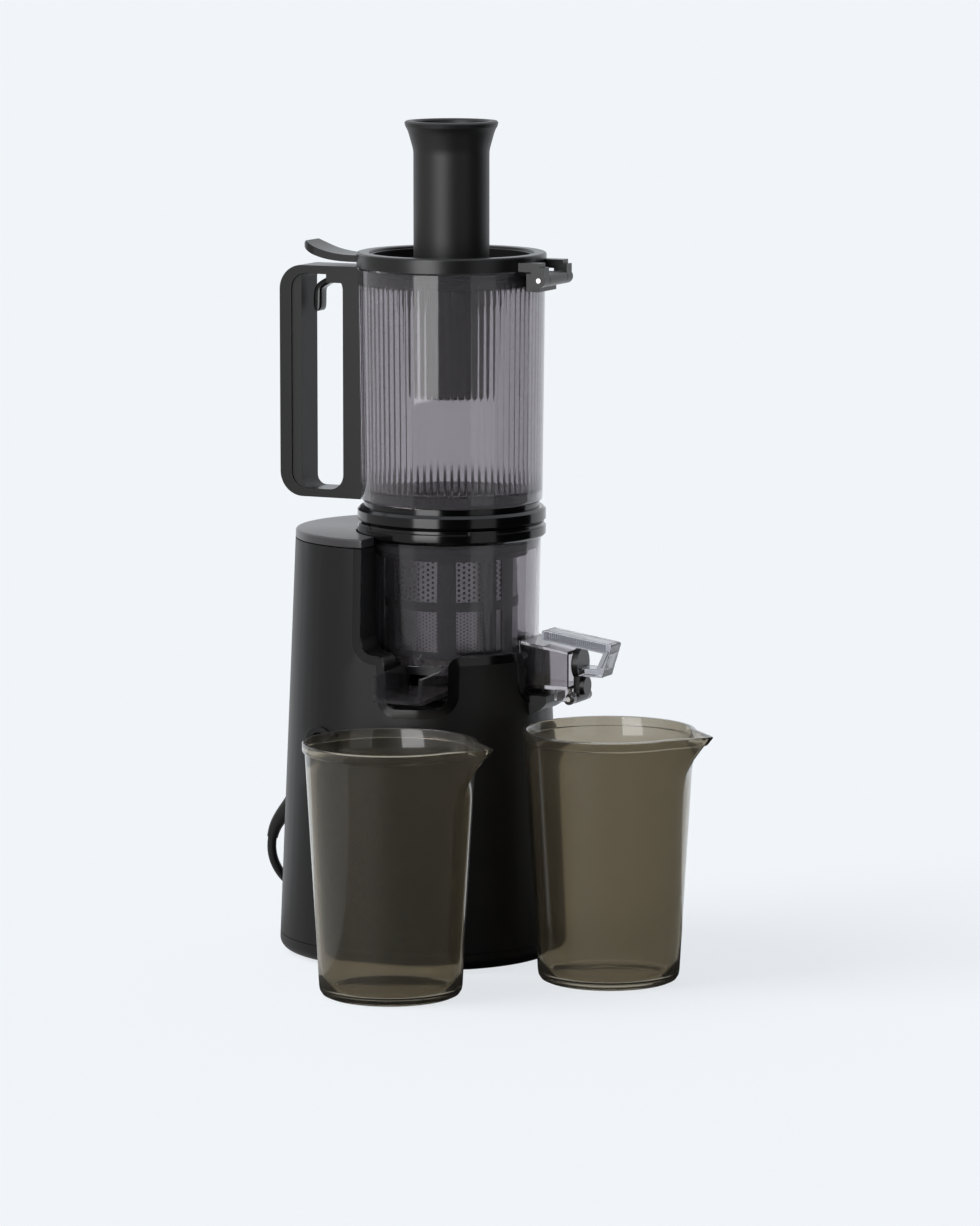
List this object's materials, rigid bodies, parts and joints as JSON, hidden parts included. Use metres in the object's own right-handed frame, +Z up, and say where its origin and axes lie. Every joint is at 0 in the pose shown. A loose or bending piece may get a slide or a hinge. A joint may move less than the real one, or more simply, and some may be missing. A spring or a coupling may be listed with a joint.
{
  "type": "cold press juicer",
  "caption": "Black upright cold press juicer with smoked hopper, handle, hinged lid, pusher, and two smoked pitchers beside it.",
  "frame": {"origin": "bottom centre of the juicer and its two pitchers, on the table", "axes": "+Z up, the juice spout points to -Y, the pulp outlet and lid hinge are on +X, the handle and the cord on -X"},
  "size_m": [0.3349, 0.3878, 0.538],
  "materials": {
    "shell_black": "satin",
    "cap_charcoal": "satin",
    "trim_gloss": "gloss",
    "satin_black": "satin",
    "smoke_clear": "gloss",
    "pitcher_smoke": "gloss",
    "lever_clear": "gloss",
    "rubber_black": "matte",
    "strainer_grey": "satin",
    "mesh_steel": "satin",
    "silicone_dark": "matte",
    "auger_dark": "satin",
    "steel": "satin",
    "motor_iron": "matte",
    "gear_nylon": "satin",
    "board_green": "satin"
  },
  "bodies": {
    "base": {"base_housing": "shell_black", "saddle_trim": "trim_gloss", "rear_cap": "cap_charcoal", "bottom_tray": "shell_black", "rubber_feet": "rubber_black", "tray_screws": "steel", "switch_bezel": "trim_gloss", "motor_frame": "steel", "motor_stator": "motor_iron", "gear_housing": "gear_nylon", "ring_gear": "gear_nylon", "shaft_seal": "rubber_black", "control_board": "board_green", "cord_gland": "rubber_black", "power_cord": "rubber_black", "cord_coil": "rubber_black", "cord_tail": "rubber_black", "cord_tie": "rubber_black", "power_plug": "rubber_black"},
    "switch": {"switch_rocker": "trim_gloss"},
    "rotor": {"motor_rotor": "steel", "cooling_fan": "gear_nylon", "sun_gear": "gear_nylon"},
    "planet_1": {"planet_gear_1": "gear_nylon"},
    "planet_2": {"planet_gear_2": "gear_nylon"},
    "planet_3": {"planet_gear_3": "gear_nylon"},
    "drive": {"planet_carrier": "steel"},
    "bowl": {"juicer_bowl": "smoke_clear", "bowl_seal": "rubber_black", "pulp_chute": "smoke_clear", "lever_pin": "steel", "strainer_frame": "strainer_grey", "strainer_mesh": "mesh_steel"},
    "pulp_door": {"outlet_cap": "rubber_black", "pulp_lever": "lever_clear"},
    "auger_screw": {"auger": "auger_dark", "brush_drive_gear": "gear_nylon"},
    "brush": {"brush_holder": "strainer_grey", "wiper_blades": "silicone_dark"},
    "pinion": {"brush_pinion": "gear_nylon"},
    "collar": {"hopper_collar": "trim_gloss"},
    "hopper": {"hopper_floor": "trim_gloss", "hopper_barrel": "smoke_clear", "hinge_bracket": "satin_black", "handle_frame": "satin_black", "handle_grip": "satin_black", "trigger_pin": "steel", "trigger_spring": "steel"},
    "trigger": {"handle_trigger": "trim_gloss"},
    "lid": {"lid_ring": "trim_gloss", "lid_dish": "trim_gloss", "lid_gasket": "rubber_black", "hinge_pin": "steel", "pusher_guide": "rubber_black"},
    "pusher": {"pusher_tube": "satin_black"},
    "juice_jug": {"juice_pitcher": "pitcher_smoke"},
    "pulp_jug": {"pulp_pitcher": "pitcher_smoke"}
  },
  "joints": [
    {"name": "drive_spin", "type": "hinge", "parent": "base", "child": "drive", "pos_m": [-0.0413, 0.05552, 0.13], "axis": [0, 0, 1], "continuous": true},
    {"name": "rotor_spin", "type": "hinge", "parent": "base", "child": "rotor", "pos_m": [-0.0413, 0.05552, 0.07], "axis": [0, 0, 1], "continuous": true},
    {"name": "bowl_lift", "type": "slide", "parent": "base", "child": "bowl", "axis": [0, 0, 1], "range_m": [0, 0.09]},
    {"name": "auger_spin", "type": "hinge", "parent": "bowl", "child": "auger_screw", "pos_m": [-0.0413, 0.05552, 0.23], "axis": [0, 0, 1], "continuous": true},
    {"name": "brush_spin", "type": "hinge", "parent": "bowl", "child": "brush", "pos_m": [-0.0413, 0.05552, 0.225], "axis": [0, 0, 1], "continuous": true},
    {"name": "pinion_spin", "type": "hinge", "parent": "bowl", "child": "pinion", "pos_m": [-0.0728, 0.05552, 0.191], "axis": [0, 0, 1], "continuous": true},
    {"name": "pulp_door_swing", "type": "hinge", "parent": "bowl", "child": "pulp_door", "pos_m": [0.0477, 0.05552, 0.173], "axis": [0, 1, 0], "range_deg": [0, 60]},
    {"name": "hopper_lift", "type": "slide", "parent": "bowl", "child": "collar", "axis": [0, 0, 1], "range_m": [0, 0.06]},
    {"name": "hopper_turn", "type": "hinge", "parent": "collar", "child": "hopper", "pos_m": [-0.0413, 0.05552, 0.29], "axis": [0, 0, 1], "range_deg": [0, 30]},
    {"name": "trigger_pull", "type": "hinge", "parent": "hopper", "child": "trigger", "pos_m": [-0.1198, 0.05552, 0.4366], "axis": [0, 1, 0], "range_deg": [0, 8], "stiffness_Nm_per_rad": 0.05, "springref_deg": -5.73},
    {"name": "lid_open", "type": "hinge", "parent": "hopper", "child": "lid", "pos_m": [0.0297, 0.05552, 0.44], "axis": [0, 1, 0], "range_deg": [0, 95]},
    {"name": "pusher_slide", "type": "slide", "parent": "lid", "child": "pusher", "axis": [0, 0, 1], "range_m": [-0.066, 0]},
    {"name": "switch_tilt", "type": "hinge", "parent": "base", "child": "switch", "pos_m": [-0.09881, -0.01596, 0.133], "axis": [0.9397, -0.342, 0], "range_deg": [-7, 7]},
    {"name": "juice_jug_slide", "type": "slide", "parent": "base", "child": "juice_jug", "axis": [0, -1, 0], "range_m": [0, 0.12]},
    {"name": "pulp_jug_slide", "type": "slide", "parent": "base", "child": "pulp_jug", "axis": [1, 0, 0], "range_m": [0, 0.12]},
    {"name": "planet_1_spin", "type": "hinge", "parent": "drive", "child": "planet_1", "pos_m": [-0.0182, 0.05552, 0.12], "axis": [0, 0, 1], "continuous": true},
    {"name": "planet_2_spin", "type": "hinge", "parent": "drive", "child": "planet_2", "pos_m": [-0.05285, 0.07552, 0.12], "axis": [0, 0, 1], "continuous": true},
    {"name": "planet_3_spin", "type": "hinge", "parent": "drive", "child": "planet_3", "pos_m": [-0.05285, 0.03551, 0.12], "axis": [0, 0, 1], "continuous": true}
  ],
  "couplings": [
    {"joint": "rotor_spin", "follows": "drive_spin", "ratio": 4.4},
    {"joint": "auger_spin", "follows": "drive_spin", "ratio": 1},
    {"joint": "brush_spin", "follows": "drive_spin", "ratio": -0.4},
    {"joint": "pinion_spin", "follows": "drive_spin", "ratio": -1.3333},
    {"joint": "planet_1_spin", "follows": "drive_spin", "ratio": -2.8333},
    {"joint": "planet_2_spin", "follows": "drive_spin", "ratio": -2.8333},
    {"joint": "planet_3_spin", "follows": "drive_spin", "ratio": -2.8333}
  ]
}
